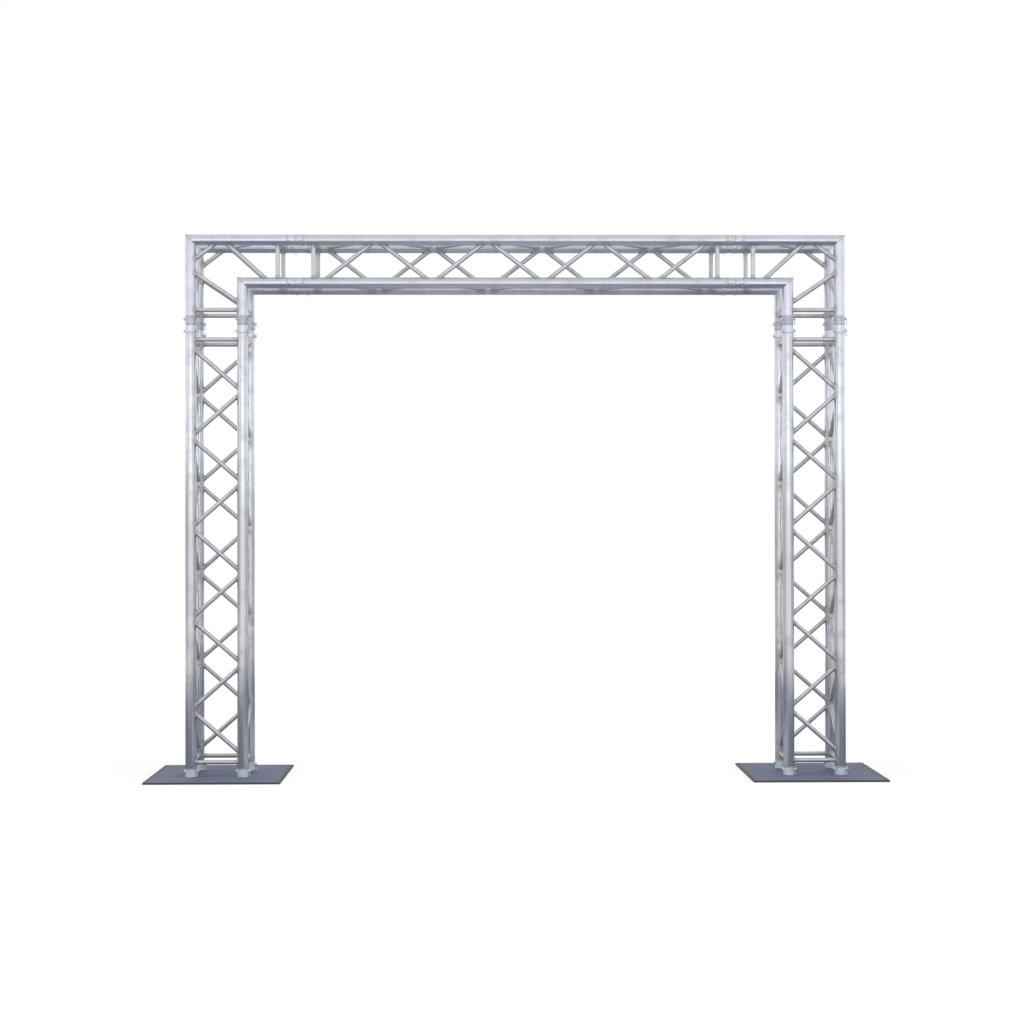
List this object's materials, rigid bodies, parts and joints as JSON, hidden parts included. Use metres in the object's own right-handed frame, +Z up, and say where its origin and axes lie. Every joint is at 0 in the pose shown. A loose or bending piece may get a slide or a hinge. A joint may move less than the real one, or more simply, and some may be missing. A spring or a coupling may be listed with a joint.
{
  "type": "box truss arch",
  "caption": "Free-standing arch of square lattice truss: columns on steel base plates, mitred corner blocks and a cross beam, joined by pinned conical couplers.",
  "frame": {"origin": "on the floor, midway between the base plates and midway between the front and rear chords", "axes": "+X along the beam to the right as seen from the front, +Y to the rear, +Z up"},
  "size_m": [3.3256, 0.61, 2.4686],
  "materials": {
    "truss_aluminium": "mill-finish extruded tube, satin, with fine drawn lines",
    "coupler_aluminium": "turned, plain",
    "base_plate_paint": "satin blue-grey paint, worn through at the edges",
    "plated_steel": "zinc plated"
  },
  "bodies": {
    "root": {"left_base_plate": "base_plate_paint", "left_base_coupler_front_outer": "coupler_aluminium", "left_base_bolt_front_outer": "plated_steel", "left_base_coupler_front_inner": "coupler_aluminium", "left_base_bolt_front_inner": "plated_steel", "left_base_coupler_rear_inner": "coupler_aluminium", "left_base_bolt_rear_inner": "plated_steel", "left_base_coupler_rear_outer": "coupler_aluminium", "left_base_bolt_rear_outer": "plated_steel", "left_column_front_outer_chord": "truss_aluminium", "left_column_coupler_front_outer": "coupler_aluminium", "left_column_front_inner_chord": "truss_aluminium", "left_column_coupler_front_inner": "coupler_aluminium", "left_column_rear_inner_chord": "truss_aluminium", "left_column_coupler_rear_inner": "coupler_aluminium", "left_column_rear_outer_chord": "truss_aluminium", "left_column_coupler_rear_outer": "coupler_aluminium", "left_corner_front_outer_chord": "truss_aluminium", "left_corner_front_inner_chord": "truss_aluminium", "left_corner_rear_inner_chord": "truss_aluminium", "left_corner_rear_outer_chord": "truss_aluminium", "left_beam_coupler_front_top": "coupler_aluminium", "left_beam_coupler_front_bottom": "coupler_aluminium", "left_beam_coupler_rear_bottom": "coupler_aluminium", "left_beam_coupler_rear_top": "coupler_aluminium", "right_base_plate": "base_plate_paint", "right_base_coupler_front_outer": "coupler_aluminium", "right_base_bolt_front_outer": "plated_steel", "right_base_coupler_front_inner": "coupler_aluminium", "right_base_bolt_front_inner": "plated_steel", "right_base_coupler_rear_inner": "coupler_aluminium", "right_base_bolt_rear_inner": "plated_steel", "right_base_coupler_rear_outer": "coupler_aluminium", "right_base_bolt_rear_outer": "plated_steel", "right_column_front_outer_chord": "truss_aluminium", "right_column_coupler_front_outer": "coupler_aluminium", "right_column_front_inner_chord": "truss_aluminium", "right_column_coupler_front_inner": "coupler_aluminium", "right_column_rear_inner_chord": "truss_aluminium", "right_column_coupler_rear_inner": "coupler_aluminium", "right_column_rear_outer_chord": "truss_aluminium", "right_column_coupler_rear_outer": "coupler_aluminium", "right_corner_front_outer_chord": "truss_aluminium", "right_corner_front_inner_chord": "truss_aluminium", "right_corner_rear_inner_chord": "truss_aluminium", "right_corner_rear_outer_chord": "truss_aluminium", "right_beam_coupler_front_top": "coupler_aluminium", "right_beam_coupler_front_bottom": "coupler_aluminium", "right_beam_coupler_rear_bottom": "coupler_aluminium", "right_beam_coupler_rear_top": "coupler_aluminium", "beam_front_top_chord": "truss_aluminium", "beam_front_bottom_chord": "truss_aluminium", "beam_rear_bottom_chord": "truss_aluminium", "beam_rear_top_chord": "truss_aluminium"}
  },
  "joints": []
}
